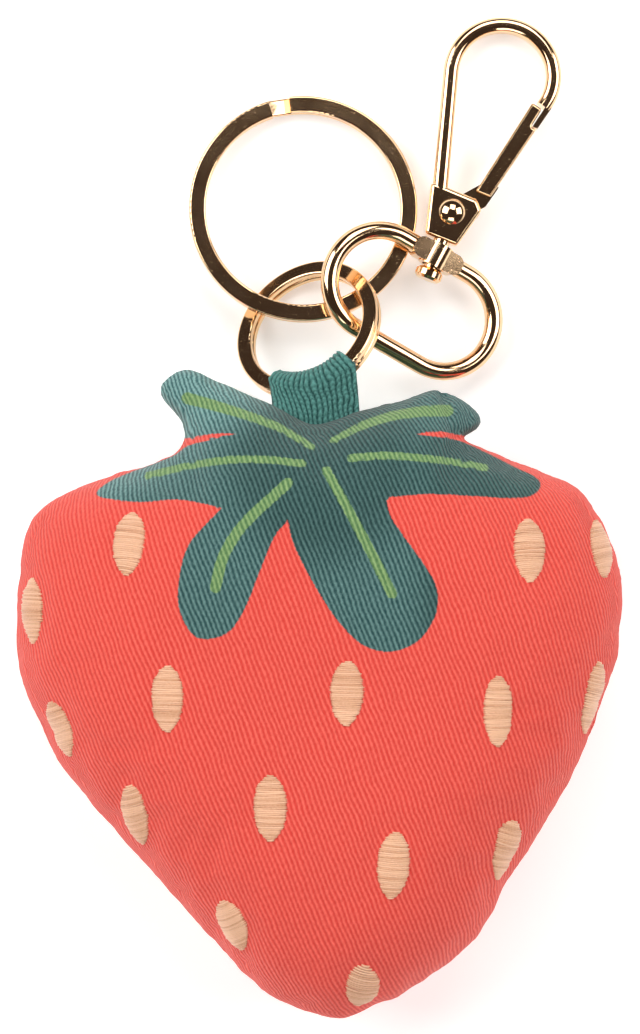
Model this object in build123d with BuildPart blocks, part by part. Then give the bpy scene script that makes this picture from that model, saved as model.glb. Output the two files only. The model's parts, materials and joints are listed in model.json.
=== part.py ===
from build123d import *
from math import acos, atan2, cos, hypot, pi, radians, sin
import os

# A stuffed fabric strawberry on a key ring, lying on its back.
# Millimetres. Z is up, the strawberry's tip points to -Y, the metal hardware to +Y.
# The origin is on the resting surface, under the middle of the whole object.

# ---------------------------------------------------------------- strawberry
SEAM_HEIGHT = 13.5
FRONT_HEIGHT = 29.5
PANEL_THICKNESS = 0.7
STUFFING_GAP = 0.1
PILLOW_CENTRE = (0, -24)
PILLOW_HALF_WIDTH = 39
SEED_GAP = 0.06
SEED_THICKNESS = 0.5
LEAF_TIP_THICKNESS = 3.6

SEAM_OUTLINE = [
    (-0.5, 11.8), (-8, 11.5), (-15.5, 9.8), (-22, 6.9), (-30.5, 4.2), (-36.4, 0.6), (-39.3, -8),
    (-39.2, -18), (-34.6, -30.5), (-26.1, -41), (-17.8, -50.3), (-9.6, -59.4), (-4.2, -63.3),
    (2.4, -64.8), (8.8, -62.7), (16.2, -58), (21.8, -52), (26, -44.9), (32.6, -33.2),
    (37.6, -21.2), (39.3, -10), (37.2, -1.8), (32.8, 4), (25.5, 6.5), (17.5, 9.4), (8.5, 11.3),
]
LEFT_LEAF_TIP = [
    (-5, 13), (-11.3, 16.9), (-17.2, 19.2), (-20.6, 17.4), (-20.3, 14.9), (-17.6, 11.3),
    (-18.4, 8.2), (-11, 6), (-5, 8),
]
RIGHT_LEAF_TIP = [
    (5.6, 13.2), (10.2, 15.1), (15.2, 16.5), (19, 14.9), (20.9, 12.3), (17.6, 9), (11, 6), (5, 8),
]
# Share of the half's height, and of the outline's size, at each section of the pillow.
PILLOW_PROFILE = [(0, 1), (0.3, 0.985), (0.58, 0.92), (0.8, 0.79), (0.93, 0.6), (1, 0.36)]
BACK_PROFILE = [(0, 1), (0.32, 0.985), (0.62, 0.93), (0.85, 0.82), (1, 0.64)]

# Each seed: centre x and y, turn from the Y axis in degrees, length and width.
FRONT_SEEDS = [
    (-24.3, -3.3, -6, 8.0, 4.0), (-37.0, -12.0, 0, 8.4, 2.6), (26.6, -4.2, 2, 8.0, 4.0),
    (36.2, -4.0, 9, 7.4, 2.8), (-19.3, -23.0, 0, 8.4, 4.0), (3.4, -22.3, -2, 8.2, 4.2),
    (22.5, -24.6, 0, 9.0, 3.7), (35.0, -23.2, -12, 9.4, 2.9), (-33.0, -27.0, 20, 7.4, 3.0),
    (-6.3, -36.8, 0, 8.4, 4.2), (-23.7, -38.2, 14, 7.8, 3.0), (9.3, -44.1, -3, 8.6, 4.1),
    (23.8, -42.6, -14, 8.0, 3.4), (-11.3, -52.2, 22, 7.0, 4.0), (5.5, -60.3, -8, 5.8, 4.2),
]
BACK_SEEDS = [
    (-31.5, -4.0, 0, 7.4, 3.0), (31.5, -4.0, 0, 7.4, 3.0), (-35.0, -19.0, 6, 8.0, 3.0),
    (35.0, -19.0, -6, 8.0, 3.0), (-27.5, -35.0, 25, 8.0, 3.2), (27.8, -36.0, -25, 8.0, 3.2),
    (-14.5, -49.5, 30, 7.6, 3.4), (16.5, -52.5, -30, 7.6, 3.4), (1.5, -59.5, 0, 5.6, 3.8),
]

# ---------------------------------------------------------------- hanging loop
LOOP_WIDTH = 9.2
LOOP_EYE_RADIUS = 2.65
LOOP_WALL = 0.8
LOOP_TAIL_WIDTH = 8
LOOP_TAIL_START = 7
LOOP_SLOT_CLEARANCE = 0.1

# ---------------------------------------------------------------- split rings
SMALL_RING_DIAMETER = 20
SMALL_RING_BAND = 2
SMALL_RING_COIL = 0.96
SMALL_RING_CENTRE = (-1.45, 24.45, 7.11)
SMALL_RING_TILT = 38.9
SMALL_RING_RAISED_TOWARDS = -49
SMALL_RING_JOG_START = 60
LARGE_RING_DIAMETER = 30
LARGE_RING_BAND = 2.2
LARGE_RING_COIL = 1.01
LARGE_RING_CENTRE = (-2.22, 40.45, 2.94)
LARGE_RING_TILT = 7.1
LARGE_RING_RAISED_TOWARDS = -102
LARGE_RING_JOG_START = -60
COIL_SLIT = 0.06
JOG_ARC = 11
COIL_ROUNDING = 0.27
LOOP_ANGLE = 55

# ---------------------------------------------------------------- swivel clasp
SWIVEL_CENTRE = (15.18, 34.2, 4.86)
SWIVEL_HEADING = 21.5
SWIVEL_SLOPE = 5.4
BOW_ROLL = 14.5
BOW_CANT = 6.5
BOW_WIRE_RADIUS = 1.2
BOW_STRAIGHT = 10
BOW_END_RADIUS = 6.8
BOW_CENTRE_OFFSET = -6.75
BOSS_LENGTH = 7.2
BOSS_DEPTH = 2.8
BOSS_THICKNESS = 2.8
COLLAR_RADIUS = 1.85
COLLAR_LENGTH = 3.1
BORE_RADIUS = 1.38
POST_RADIUS = 1.1
POST_HEAD_RADIUS = 1.85
POST_HEAD_HEIGHT = 1.5
POST_HEAD_TOP = -1.85
POST_TOP = 3.5
POST_CLEARANCE = 0.02

HOOK_THICKNESS = 2.8
HOOK_ARM_WIDTH = 2
HOOK_EYE_CENTRE = (-0.55, 25.4)
HOOK_EYE_OUTER_RADIUS = 7.76
HOOK_EDGE_ROUNDING = 0.55
HOOK_ARM_ROUNDING = 0.82
HOOK_ARM_START = (-1.42, 4)
HOOK_BASE_OUTLINE = [
    (-2.4, 2.15), (2.1, 2.15), (3.4, 7.6), (2.3, 8.8), (-2.28, 8.88), (-4.15, 8.88),
]
CHEEK_THICKNESS = 0.7
GATE_POCKET_OUTLINE = [(-1.95, 3.8), (1.5, 3.8), (2.3, 6.3), (5, 7), (5, 10), (-1.95, 10)]
LIP_END = (6.3, 20.5)
LIP_THICKNESS = 0.75
LIP_WIDTH = 2
NOSE_ANGLE = -16
NOSE_OVERLAP_ANGLE = -13.1

RIVET_CENTRE = (-0.15, 6.1)
RIVET_RADIUS = 0.75
RIVET_HEAD_RADIUS = 1.75
RIVET_HEAD_HEIGHT = 0.85
RIVET_CLEARANCE = 0.02
GATE_BORE_CLEARANCE = 0.05
GATE_THICKNESS = 2.6
GATE_ROOT_THICKNESS = 0.7
GATE_ROOT_LEVEL = -0.1
GATE_EYE_RADIUS = 1.45
GATE_ROUNDING = 0.3
GATE_OUTLINE = [
    (1.75, 9.75), (3.85, 9.75), (6.2, 20.35), (5.42, 20.35), (5.9, 23.1), (4.4, 23.45),
]
GATE_ROOT_OUTLINE = [(-1.2, 7), (1.05, 5.3), (3.7, 8.4), (4.4, 11.4), (2.4, 11.4)]
SPRING_WIRE_RADIUS = 0.22
SPRING_COIL_RADIUS = 1.1
SPRING_LEVEL = -0.42


def tilted_plane(centre, tilt, raised_towards):
    """A plane that rises by tilt degrees towards a compass direction in XY."""
    lean = sin(radians(tilt))
    heading = radians(raised_towards)
    normal = (-lean * cos(heading), -lean * sin(heading), cos(radians(tilt)))
    side = (sin(heading), -cos(heading), 0)
    return Plane(origin=centre, x_dir=side, z_dir=normal)


def scaled(points, factor):
    cx, cy = PILLOW_CENTRE
    return [(cx + (x - cx) * factor, cy + (y - cy) * factor) for x, y in points]


def pillow_half(profile, top, grow=0):
    """Half the pillow, from the seam to its top or bottom, grown outwards by grow."""
    grown = (PILLOW_HALF_WIDTH + grow) / PILLOW_HALF_WIDTH
    height = top - SEAM_HEIGHT + (grow if top > SEAM_HEIGHT else -grow)
    with BuildPart() as half:
        for rise, factor in profile:
            with BuildSketch(Plane.XY.offset(SEAM_HEIGHT + height * rise)):
                with BuildLine():
                    Spline(*scaled(SEAM_OUTLINE, factor * grown), periodic=True)
                make_face()
        loft()
    return half.part


def save(part, name):
    part.label = name
    export_step(part, f"parts/{name}.step")


os.makedirs("parts", exist_ok=True)

# ---------------------------------------------------------------- reference planes
small_ring_plane = tilted_plane(SMALL_RING_CENTRE, SMALL_RING_TILT, SMALL_RING_RAISED_TOWARDS)
large_ring_plane = tilted_plane(LARGE_RING_CENTRE, LARGE_RING_TILT, LARGE_RING_RAISED_TOWARDS)

# The loop holds the small ring where its wire comes nearest to the strawberry.
small_wire_radius = (SMALL_RING_DIAMETER - SMALL_RING_BAND) / 2
loop_point = small_ring_plane.from_local_coords(
    (small_wire_radius * cos(radians(LOOP_ANGLE)), small_wire_radius * sin(radians(LOOP_ANGLE)), 0)
)
loop_tangent = small_ring_plane.z_dir.cross(loop_point - small_ring_plane.origin).normalized()

heading = radians(SWIVEL_HEADING)
slope = radians(SWIVEL_SLOPE)
swivel_axis = Vector(sin(heading) * cos(slope), cos(heading) * cos(slope), -sin(slope))
hook_side = Vector(cos(heading), -sin(heading), 0)
hook_normal = hook_side.cross(swivel_axis)
hook_plane = Plane(origin=SWIVEL_CENTRE, x_dir=hook_side, z_dir=hook_normal)
roll = radians(BOW_ROLL)
bow_normal = hook_normal * cos(roll) + hook_side * sin(roll)
swivel_plane = Plane(origin=SWIVEL_CENTRE, x_dir=swivel_axis.cross(bow_normal), z_dir=bow_normal)
cant = radians(BOW_CANT)
bow_side = swivel_plane.x_dir * cos(cant) - swivel_plane.y_dir * sin(cant)
bow_plane = Plane(origin=SWIVEL_CENTRE, x_dir=bow_side, z_dir=bow_normal)
post_plane = Plane(origin=SWIVEL_CENTRE, x_dir=hook_side, z_dir=swivel_axis)
rivet_plane = Plane(
    origin=hook_plane.from_local_coords((*RIVET_CENTRE, 0)), x_dir=hook_side, z_dir=hook_normal
)

# ---------------------------------------------------------------- strawberry
outer_front = pillow_half(PILLOW_PROFILE, FRONT_HEIGHT)
inner_front = pillow_half(PILLOW_PROFILE, FRONT_HEIGHT, -PANEL_THICKNESS)
outer_back = pillow_half(BACK_PROFILE, 0)
inner_back = pillow_half(BACK_PROFILE, 0, -PANEL_THICKNESS)
stuffing_front = pillow_half(PILLOW_PROFILE, FRONT_HEIGHT, -PANEL_THICKNESS - STUFFING_GAP)
stuffing_back = pillow_half(BACK_PROFILE, 0, -PANEL_THICKNESS - STUFFING_GAP)

tail_depth = loop_point.Y - LOOP_TAIL_START
tail_centre = (loop_point.X, LOOP_TAIL_START + tail_depth / 2)
slot_growth = 2 * LOOP_SLOT_CLEARANCE
with BuildPart() as tail_slot:
    with BuildSketch(Plane.XY.offset(SEAM_HEIGHT)):
        with Locations(tail_centre):
            Rectangle(LOOP_TAIL_WIDTH + slot_growth, tail_depth + slot_growth)
    extrude(amount=LOOP_WALL + LOOP_SLOT_CLEARANCE, both=True)


def panel(outer, inner, tip_side, name):
    """One fabric panel: a thin shell with both leaf tips, slotted for the loop's tail."""
    with BuildPart() as shell:
        add(outer)
        for tip in (LEFT_LEAF_TIP, RIGHT_LEAF_TIP):
            with BuildSketch(Plane.XY.offset(SEAM_HEIGHT)):
                with BuildLine():
                    Spline(*tip, periodic=True)
                make_face()
            extrude(amount=tip_side * LEAF_TIP_THICKNESS / 2)
        add(inner, mode=Mode.SUBTRACT)
        add(tail_slot.part, mode=Mode.SUBTRACT)
    save(shell.part, name)


panel(outer_front, inner_front, 1, "front_panel")
panel(outer_back, inner_back, -1, "back_panel")

with BuildPart() as stuffing:
    add(stuffing_front)
    add(stuffing_back)
    add(tail_slot.part, mode=Mode.SUBTRACT)
save(stuffing.part, "stuffing")


def embroider(seeds, surface, raised, direction, name):
    """Raised oval pads of satin stitch, standing a thread's thickness off the panel."""
    for number, (x, y, turn, length, width) in enumerate(seeds, start=1):
        with BuildPart() as seed:
            with BuildSketch(Plane.XY.offset(SEAM_HEIGHT + direction)):
                with Locations(Location((x, y), turn)):
                    Ellipse(width / 2, length / 2)
            extrude(amount=direction * FRONT_HEIGHT)
            add(raised, mode=Mode.INTERSECT)
            add(surface, mode=Mode.SUBTRACT)
        save(seed.part, f"{name}_{number:02d}")


embroider(
    FRONT_SEEDS,
    pillow_half(PILLOW_PROFILE, FRONT_HEIGHT, SEED_GAP),
    pillow_half(PILLOW_PROFILE, FRONT_HEIGHT, SEED_GAP + SEED_THICKNESS),
    1,
    "seed_front",
)
embroider(
    BACK_SEEDS,
    pillow_half(BACK_PROFILE, 0, SEED_GAP),
    pillow_half(BACK_PROFILE, 0, SEED_GAP + SEED_THICKNESS),
    -1,
    "seed_back",
)

# ---------------------------------------------------------------- hanging loop
loop_plane = Plane(origin=loop_point, z_dir=loop_tangent)
with BuildPart() as hanging_loop:
    with BuildSketch(loop_plane):
        Circle(LOOP_EYE_RADIUS + LOOP_WALL)
    extrude(amount=LOOP_WIDTH / 2, both=True)
    with BuildSketch(Plane.XY.offset(SEAM_HEIGHT)):
        with Locations(tail_centre):
            Rectangle(LOOP_TAIL_WIDTH, tail_depth)
    extrude(amount=LOOP_WALL, both=True)
    with BuildSketch(loop_plane):
        Circle(LOOP_EYE_RADIUS)
    extrude(amount=LOOP_WIDTH, both=True, mode=Mode.SUBTRACT)
save(hanging_loop.part, "hanging_loop")


# ---------------------------------------------------------------- split rings
def split_ring(plane, diameter, band, coil, jog_start, name):
    """Two flat coils of one wire, joined by a short jog from the upper to the lower."""
    wire_radius = (diameter - band) / 2
    level = (coil + COIL_SLIT) / 2

    def across(angle):
        turn = radians(angle)
        outwards = plane.x_dir * cos(turn) + plane.y_dir * sin(turn)
        return Plane(origin=plane.origin, x_dir=outwards, z_dir=outwards.cross(plane.z_dir))

    with BuildPart() as ring:
        with BuildSketch(across(jog_start)):
            with Locations((wire_radius, level), (wire_radius, -level)):
                RectangleRounded(band, coil, COIL_ROUNDING)
        revolve(axis=Axis(plane.origin, plane.z_dir), revolution_arc=360 - JOG_ARC)
        with BuildSketch(across(jog_start)):
            with Locations((wire_radius, level)):
                RectangleRounded(band, coil, COIL_ROUNDING)
        with BuildSketch(across(jog_start - JOG_ARC)):
            with Locations((wire_radius, -level)):
                RectangleRounded(band, coil, COIL_ROUNDING)
        loft()
    save(ring.part, name)


split_ring(
    small_ring_plane,
    SMALL_RING_DIAMETER,
    SMALL_RING_BAND,
    SMALL_RING_COIL,
    SMALL_RING_JOG_START,
    "small_split_ring",
)
split_ring(
    large_ring_plane,
    LARGE_RING_DIAMETER,
    LARGE_RING_BAND,
    LARGE_RING_COIL,
    LARGE_RING_JOG_START,
    "large_split_ring",
)

# ---------------------------------------------------------------- clasp bow
half_straight = BOW_STRAIGHT / 2
end_radius = BOW_END_RADIUS
with BuildPart() as clasp_bow:
    with BuildLine(bow_plane):
        top = BOW_CENTRE_OFFSET + end_radius
        bottom = BOW_CENTRE_OFFSET - end_radius
        Line((-half_straight, top), (half_straight, top))
        ThreePointArc(
            (half_straight, top),
            (half_straight + end_radius, BOW_CENTRE_OFFSET),
            (half_straight, bottom),
        )
        Line((half_straight, bottom), (-half_straight, bottom))
        ThreePointArc(
            (-half_straight, bottom),
            (-half_straight - end_radius, BOW_CENTRE_OFFSET),
            (-half_straight, top),
        )
    wire_start = bow_plane.from_local_coords((-half_straight, top, 0))
    with BuildSketch(Plane(origin=wire_start, z_dir=bow_side)):
        Circle(BOW_WIRE_RADIUS)
    sweep()
    with BuildSketch(bow_plane.offset(-BOSS_THICKNESS / 2)):
        RectangleRounded(BOSS_LENGTH, BOSS_DEPTH, BOW_WIRE_RADIUS)
    extrude(amount=BOSS_THICKNESS)
    with BuildSketch(Plane(origin=SWIVEL_CENTRE, z_dir=bow_plane.y_dir)):
        Circle(COLLAR_RADIUS)
    extrude(amount=COLLAR_LENGTH / 2, both=True)
    with BuildSketch(post_plane):
        Circle(BORE_RADIUS)
    extrude(amount=COLLAR_LENGTH, both=True, mode=Mode.SUBTRACT)
save(clasp_bow.part, "clasp_bow")

# ---------------------------------------------------------------- swivel post
with BuildPart() as swivel_post:
    with BuildSketch(post_plane.offset(POST_HEAD_TOP - POST_HEAD_HEIGHT)):
        Circle(POST_HEAD_RADIUS)
    extrude(amount=POST_HEAD_HEIGHT)
    chamfer(edges(), POST_HEAD_HEIGHT / 4)
    with BuildSketch(post_plane.offset(POST_HEAD_TOP)):
        Circle(POST_RADIUS)
    extrude(amount=POST_TOP - POST_HEAD_TOP)
save(swivel_post.part, "swivel_post")


# ---------------------------------------------------------------- hook body
def tangent_angle(point, radius, side):
    """Angle about the eye's centre, from 0 to a full turn, where a line from point
    touches the circle: side is 1 for the touch further anticlockwise, or -1."""
    dx = point[0] - HOOK_EYE_CENTRE[0]
    dy = point[1] - HOOK_EYE_CENTRE[1]
    return (atan2(dy, dx) + side * acos(radius / hypot(dx, dy))) % (2 * pi)


def on_eye(angle, radius):
    return (HOOK_EYE_CENTRE[0] + radius * cos(angle), HOOK_EYE_CENTRE[1] + radius * sin(angle))


arm_radius = HOOK_EYE_OUTER_RADIUS - HOOK_ARM_WIDTH / 2
arm_touch = tangent_angle(HOOK_ARM_START, arm_radius, -1)
nose_angle = radians(NOSE_ANGLE)
lip_touch = tangent_angle(LIP_END, HOOK_EYE_OUTER_RADIUS, 1)
lip_outline = [
    on_eye(nose_angle, HOOK_EYE_OUTER_RADIUS - LIP_THICKNESS),
    on_eye(radians(NOSE_OVERLAP_ANGLE), HOOK_EYE_OUTER_RADIUS - LIP_THICKNESS),
    on_eye(lip_touch, HOOK_EYE_OUTER_RADIUS),
    LIP_END,
    (LIP_END[0] - LIP_THICKNESS, LIP_END[1]),
]

with BuildPart() as hook_body:
    with BuildSketch(hook_plane.offset(-HOOK_THICKNESS / 2)):
        with BuildLine():
            Polyline(*HOOK_BASE_OUTLINE, close=True)
        make_face()
    extrude(amount=HOOK_THICKNESS)
    fillet(edges(), HOOK_EDGE_ROUNDING)
    with BuildLine(hook_plane):
        Line(HOOK_ARM_START, on_eye(arm_touch, arm_radius))
        ThreePointArc(
            on_eye(arm_touch, arm_radius),
            on_eye((arm_touch + nose_angle) / 2, arm_radius),
            on_eye(nose_angle, arm_radius),
        )
    arm_heading = hook_plane.from_local_coords((*on_eye(arm_touch, arm_radius), 0))
    arm_foot = hook_plane.from_local_coords((*HOOK_ARM_START, 0))
    with BuildSketch(Plane(origin=arm_foot, x_dir=hook_normal, z_dir=arm_heading - arm_foot)):
        RectangleRounded(HOOK_THICKNESS, HOOK_ARM_WIDTH, HOOK_ARM_ROUNDING)
    sweep()
    with BuildSketch(hook_plane.offset(-LIP_WIDTH / 2)):
        with BuildLine():
            Polyline(*lip_outline, close=True)
        make_face()
    extrude(amount=LIP_WIDTH)
    with BuildSketch(hook_plane.offset(CHEEK_THICKNESS - HOOK_THICKNESS / 2)):
        with BuildLine():
            Polyline(*GATE_POCKET_OUTLINE, close=True)
        make_face()
    extrude(amount=HOOK_THICKNESS - 2 * CHEEK_THICKNESS, mode=Mode.SUBTRACT)
    with BuildSketch(rivet_plane):
        Circle(RIVET_RADIUS + RIVET_CLEARANCE)
    extrude(amount=HOOK_THICKNESS, both=True, mode=Mode.SUBTRACT)
    with BuildSketch(post_plane):
        Circle(POST_RADIUS + POST_CLEARANCE)
    extrude(amount=POST_TOP + POST_CLEARANCE, mode=Mode.SUBTRACT)
save(hook_body.part, "hook_body")

# ---------------------------------------------------------------- gate rivet
dome_radius = (RIVET_HEAD_RADIUS**2 + RIVET_HEAD_HEIGHT**2) / (2 * RIVET_HEAD_HEIGHT)
dome_centre = HOOK_THICKNESS / 2 + RIVET_HEAD_HEIGHT - dome_radius
with BuildPart() as gate_rivet:
    with Locations(
        rivet_plane.offset(dome_centre).location, rivet_plane.offset(-dome_centre).location
    ):
        Sphere(dome_radius)
    with BuildSketch(rivet_plane):
        Circle(dome_radius + RIVET_RADIUS)
    extrude(amount=HOOK_THICKNESS / 2, both=True, mode=Mode.SUBTRACT)
    with BuildSketch(rivet_plane):
        Circle(RIVET_RADIUS)
    extrude(amount=HOOK_THICKNESS / 2, both=True)
save(gate_rivet.part, "gate_rivet")

# ---------------------------------------------------------------- gate
with BuildPart() as gate:
    with BuildSketch(hook_plane.offset(-GATE_THICKNESS / 2)):
        with BuildLine():
            Polyline(*GATE_OUTLINE, close=True)
        make_face()
    extrude(amount=GATE_THICKNESS)
    fillet(edges(), GATE_ROUNDING)
    with BuildSketch(hook_plane.offset(GATE_ROOT_LEVEL)):
        with BuildLine():
            Polyline(*GATE_ROOT_OUTLINE, close=True)
        make_face()
        with Locations(RIVET_CENTRE):
            Circle(GATE_EYE_RADIUS)
    extrude(amount=GATE_ROOT_THICKNESS)
    with BuildSketch(rivet_plane):
        Circle(RIVET_RADIUS + GATE_BORE_CLEARANCE)
    extrude(amount=GATE_THICKNESS, both=True, mode=Mode.SUBTRACT)
save(gate.part, "gate")

# ---------------------------------------------------------------- gate spring
with BuildPart() as gate_spring:
    with BuildSketch(Plane(origin=rivet_plane.origin, x_dir=hook_side, z_dir=-swivel_axis)):
        with Locations((SPRING_COIL_RADIUS, SPRING_LEVEL)):
            Circle(SPRING_WIRE_RADIUS)
    revolve(axis=Axis(rivet_plane.origin, hook_normal))
save(gate_spring.part, "gate_spring")
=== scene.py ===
import json
import math

import bmesh
import bpy
import numpy as np
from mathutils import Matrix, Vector, geometry, noise
from mathutils.bvhtree import BVHTree


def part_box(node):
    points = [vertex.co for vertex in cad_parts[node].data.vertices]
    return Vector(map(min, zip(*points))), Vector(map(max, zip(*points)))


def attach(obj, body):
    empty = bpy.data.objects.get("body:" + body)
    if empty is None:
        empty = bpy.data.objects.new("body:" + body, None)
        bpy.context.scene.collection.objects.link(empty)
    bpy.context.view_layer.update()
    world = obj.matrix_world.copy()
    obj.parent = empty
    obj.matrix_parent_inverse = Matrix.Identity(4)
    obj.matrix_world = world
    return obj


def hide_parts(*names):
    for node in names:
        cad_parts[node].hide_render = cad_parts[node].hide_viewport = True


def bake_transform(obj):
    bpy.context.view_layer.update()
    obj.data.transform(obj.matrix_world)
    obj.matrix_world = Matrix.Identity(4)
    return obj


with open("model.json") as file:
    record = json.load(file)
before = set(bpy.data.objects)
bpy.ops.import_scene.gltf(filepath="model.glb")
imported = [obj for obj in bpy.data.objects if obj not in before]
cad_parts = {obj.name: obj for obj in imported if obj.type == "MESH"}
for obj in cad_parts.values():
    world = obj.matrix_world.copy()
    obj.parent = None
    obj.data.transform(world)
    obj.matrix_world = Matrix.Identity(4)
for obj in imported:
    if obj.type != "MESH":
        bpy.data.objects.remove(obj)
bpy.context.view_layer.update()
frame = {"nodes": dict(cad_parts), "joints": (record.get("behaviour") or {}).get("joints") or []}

# One millimetre in metres. Shapes are worked out in millimetres and set in metres.
MM = 0.001


# ------------------------------------------------------------------ small helpers
def joint(name):
    """The frame's record of one joint."""
    return next(j for j in frame["joints"] if j["name"] == name)


def smooth_step(x, low, high):
    """0 below low, 1 above high, smooth between."""
    t = np.clip((x - low) / (high - low), 0, 1)
    return t * t * (3 - 2 * t)


def unit_rows(vectors, least=0.0):
    """Each row divided by its length, or by least where it is shorter."""
    return vectors / np.maximum(np.linalg.norm(vectors, axis=1), least)[:, None]


def tree_of(points, mesh):
    """A search tree of a mesh's faces with its vertices at the given points."""
    return BVHTree.FromPolygons([Vector(p) for p in points], [tuple(p.vertices) for p in mesh.polygons])


def catmull_rom(points, closed=False, step=0.25):
    """Points along a smooth curve through the given ones, about step apart."""
    points = [np.array(p, float) for p in points]
    count = len(points)
    spans = count if closed else count - 1
    line = []
    for i in range(spans):
        if closed:
            a, b, c, d = (points[(i + k) % count] for k in (-1, 0, 1, 2))
        else:
            b, c = points[i], points[i + 1]
            a = points[i - 1] if i else 2 * b - c
            d = points[i + 2] if i + 2 < count else 2 * c - b
        pieces = max(1, int(np.ceil(np.linalg.norm(c - b) / step)))
        for t in np.arange(pieces) / pieces:
            line.append(
                0.5 * (2 * b + (c - a) * t + (2 * a - 5 * b + 4 * c - d) * t * t
                       + (3 * b - a - 3 * c + d) * t ** 3)
            )
    if not closed:
        line.append(points[-1])
    return np.array(line)


def evenly(line, spacing):
    """A closed line's points moved to be evenly spaced."""
    loop = np.vstack([line, line[:1]])
    lengths = np.concatenate([[0], np.cumsum(np.linalg.norm(np.diff(loop, axis=0), axis=1))])
    count = int(round(lengths[-1] / spacing))
    at = np.arange(count) * lengths[-1] / count
    return np.stack([np.interp(at, lengths, loop[:, k]) for k in range(line.shape[1])], axis=1)


def distance_to_line(points, line, closed=False):
    """Each point's distance to a line of short segments."""
    ends = np.vstack([line[1:], line[:1]]) if closed else line[1:]
    starts = line if closed else line[:-1]
    best = np.full(len(points), 1e9)
    for a, b in zip(starts, ends):
        along = b - a
        t = np.clip((points - a) @ along / max(along @ along, 1e-12), 0, 1)
        best = np.minimum(best, np.linalg.norm(points - a - t[:, None] * along, axis=1))
    return best


def inside(points, polygon):
    """True for each point inside a closed polygon."""
    x, y = points[:, 0], points[:, 1]
    found = np.zeros(len(points), bool)
    for (x1, y1), (x2, y2) in zip(polygon, np.roll(polygon, -1, axis=0)):
        crosses = (y1 > y) != (y2 > y)
        if y1 != y2:
            found ^= crosses & (x < (x2 - x1) * (y - y1) / (y2 - y1) + x1)
    return found


def new_object(name, vertices, faces):
    """A smooth-shaded mesh object from vertices in metres."""
    mesh = bpy.data.meshes.new(name)
    mesh.from_pydata([tuple(v) for v in vertices], [], [tuple(f) for f in faces])
    mesh.polygons.foreach_set("use_smooth", [True] * len(mesh.polygons))
    mesh.update()
    made = bpy.data.objects.new(name, mesh)
    bpy.context.scene.collection.objects.link(made)
    return made


def places(mesh):
    """A mesh's vertices, one row each."""
    found = np.zeros(len(mesh.vertices) * 3)
    mesh.vertices.foreach_get("co", found)
    return found.reshape(-1, 3)


def normals(mesh):
    """The outward direction at each vertex."""
    found = np.zeros(len(mesh.vertices) * 3)
    mesh.vertices.foreach_get("normal", found)
    return found.reshape(-1, 3)


def set_places(mesh, points):
    mesh.vertices.foreach_set("co", np.asarray(points, float).ravel())
    mesh.update()


def set_attribute(mesh, name, values):
    """Stores one number per vertex under a name that materials can read."""
    layer = mesh.attributes.new(name, "FLOAT", "POINT")
    layer.data.foreach_set("value", np.asarray(values, np.float32))


def get_attribute(mesh, name):
    found = np.zeros(len(mesh.vertices), np.float32)
    mesh.attributes[name].data.foreach_get("value", found)
    return found.astype(float)


def bake_modifiers(made):
    """Replaces an object's mesh with what its modifiers make of it."""
    graph = bpy.context.evaluated_depsgraph_get()
    baked = bpy.data.meshes.new_from_object(made.evaluated_get(graph))
    made.modifiers.clear()
    made.data = baked


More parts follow.
